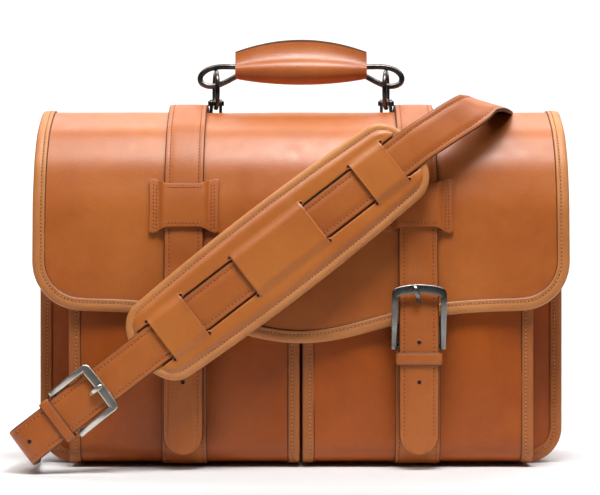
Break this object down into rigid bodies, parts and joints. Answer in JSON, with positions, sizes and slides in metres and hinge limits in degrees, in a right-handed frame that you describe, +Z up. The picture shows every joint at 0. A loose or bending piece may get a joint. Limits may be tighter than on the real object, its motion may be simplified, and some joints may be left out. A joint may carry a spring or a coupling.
{
  "type": "leather briefcase",
  "caption": "Flap-over leather briefcase with front pockets, buckled closure straps, a wire-ended carrying handle and a padded shoulder strap across its front.",
  "frame": {"origin": "middle of the flat base, on the surface the bag stands on", "axes": "+X to the right across the bag's width, -Y out of the front that carries the buckles, +Z up"},
  "size_m": [0.4552, 0.207, 0.357],
  "materials": {
    "panel_leather": "smooth vegetable-tanned leather, darker where it is shaded and handled, satin",
    "flap_leather": "smooth vegetable-tanned tan leather, fine grain, soft satin sheen",
    "strap_leather": "tan bridle leather with burnished dark cut edges and sewn borders",
    "edge_leather": "lighter tan edge binding with a stitched row",
    "pad_leather": "soft tan leather over a thin foam, satin",
    "grip_leather": "tan leather sewn tightly round a rope core, burnished edge",
    "lining_leather": "undyed rough flesh side",
    "gunmetal": "dark gunmetal plated steel wire, semi-gloss",
    "nickel": "brushed nickel plated cast metal with bright worn bevels",
    "rope_core": "twisted cord filler"
  },
  "bodies": {
    "root": {"back_panel": "panel_leather", "front_panel": "panel_leather", "gusset": "panel_leather", "divider": "lining_leather", "back_binding": "edge_leather", "front_binding": "edge_leather", "pocket_front_l": "panel_leather", "pocket_front_r": "panel_leather", "pocket_gusset_l": "panel_leather", "pocket_gusset_r": "panel_leather", "pocket_binding_l": "edge_leather", "pocket_binding_r": "edge_leather", "backing_strap_l": "strap_leather", "backing_strap_r": "strap_leather", "snap_sockets": "nickel", "side_tab_l": "strap_leather", "side_tab_r": "strap_leather", "tab_rivets": "nickel", "shoulder_strap_side": "strap_leather", "shoulder_strap_rear": "strap_leather"},
    "flap": {"flap_panel": "flap_leather", "flap_binding": "edge_leather", "closure_strap_l": "strap_leather", "closure_strap_r": "strap_leather", "flap_keeper_l": "strap_leather", "flap_keeper_r": "strap_leather", "buckle_chape_l": "strap_leather", "buckle_chape_r": "strap_leather", "keeper_loop_l": "strap_leather", "keeper_loop_r": "strap_leather", "snap_studs": "nickel", "handle_bracket_l": "gunmetal", "handle_bracket_r": "gunmetal", "shoulder_strap_front": "strap_leather", "strap_buckle_chape": "strap_leather", "strap_keeper_loop": "strap_leather"},
    "handle_ring_left": {"handle_ring_l": "gunmetal"},
    "handle_ring_right": {"handle_ring_r": "gunmetal"},
    "handle": {"handle_wire": "gunmetal", "handle_grip": "grip_leather", "handle_core": "rope_core"},
    "buckle_left": {"buckle_frame_l": "nickel"},
    "prong_left": {"buckle_prong_l": "nickel"},
    "buckle_right": {"buckle_frame_r": "nickel"},
    "prong_right": {"buckle_prong_r": "nickel"},
    "sling_buckle": {"strap_buckle_frame": "nickel"},
    "sling_prong": {"strap_buckle_prong": "nickel"},
    "shoulder_pad": {"pad_base": "pad_leather", "pad_bands": "pad_leather", "pad_binding": "edge_leather"},
    "side_ring_left": {"side_ring_l": "gunmetal"},
    "side_ring_right": {"side_ring_r": "gunmetal"}
  },
  "joints": [
    {"name": "flap_hinge", "type": "hinge", "parent": "root", "child": "flap", "pos_m": [0, 0.08, 0.288], "axis": [-1, 0, 0], "range_deg": [0, 105]},
    {"name": "ring_left_swing", "type": "hinge", "parent": "flap", "child": "handle_ring_left", "pos_m": [-0.0725, 0, 0.3027], "axis": [1, 0, 0], "range_deg": [-30, 30]},
    {"name": "ring_right_swing", "type": "hinge", "parent": "flap", "child": "handle_ring_right", "pos_m": [0.0725, 0, 0.3027], "axis": [1, 0, 0], "range_deg": [-30, 30]},
    {"name": "handle_tilt", "type": "hinge", "parent": "handle_ring_left", "child": "handle", "pos_m": [0, 0, 0.3334], "axis": [1, 0, 0], "range_deg": [-30, 30]},
    {"name": "pad_slide", "type": "slide", "parent": "flap", "child": "shoulder_pad", "axis": [0.7908, 0.0609, 0.609], "range_m": [-0.02, 0.006]},
    {"name": "buckle_left_lift", "type": "hinge", "parent": "flap", "child": "buckle_left", "pos_m": [-0.095, -0.0785, 0.1], "axis": [1, 0, 0], "range_deg": [0, 1.5]},
    {"name": "prong_left_lift", "type": "hinge", "parent": "flap", "child": "prong_left", "pos_m": [-0.095, -0.0785, 0.1], "axis": [1, 0, 0], "range_deg": [0, 1.5]},
    {"name": "buckle_right_lift", "type": "hinge", "parent": "flap", "child": "buckle_right", "pos_m": [0.095, -0.0785, 0.1], "axis": [1, 0, 0], "range_deg": [0, 1.5]},
    {"name": "prong_right_lift", "type": "hinge", "parent": "flap", "child": "prong_right", "pos_m": [0.095, -0.0785, 0.1], "axis": [1, 0, 0], "range_deg": [0, 1.5]},
    {"name": "sling_buckle_lift", "type": "hinge", "parent": "flap", "child": "sling_buckle", "pos_m": [-0.18455, -0.10642, 0.04806], "axis": [0.6121, -0.0787, -0.7869], "range_deg": [0, 1.5]},
    {"name": "sling_prong_lift", "type": "hinge", "parent": "flap", "child": "sling_prong", "pos_m": [-0.18455, -0.10642, 0.04806], "axis": [0.6121, -0.0787, -0.7869], "range_deg": [0, 1.5]},
    {"name": "side_ring_left_swing", "type": "hinge", "parent": "root", "child": "side_ring_left", "pos_m": [-0.22, 0.02, 0.212], "axis": [0, -1, 0], "range_deg": [-5, 5]},
    {"name": "side_ring_right_swing", "type": "hinge", "parent": "root", "child": "side_ring_right", "pos_m": [0.22, 0.032, 0.222], "axis": [0, 0, 1], "range_deg": [-5, 5]}
  ],
  "couplings": [
    {"joint": "ring_right_swing", "follows": "ring_left_swing", "ratio": 1},
    {"joint": "prong_left_lift", "follows": "buckle_left_lift", "ratio": 1},
    {"joint": "prong_right_lift", "follows": "buckle_right_lift", "ratio": 1},
    {"joint": "sling_prong_lift", "follows": "sling_buckle_lift", "ratio": 1}
  ]
}
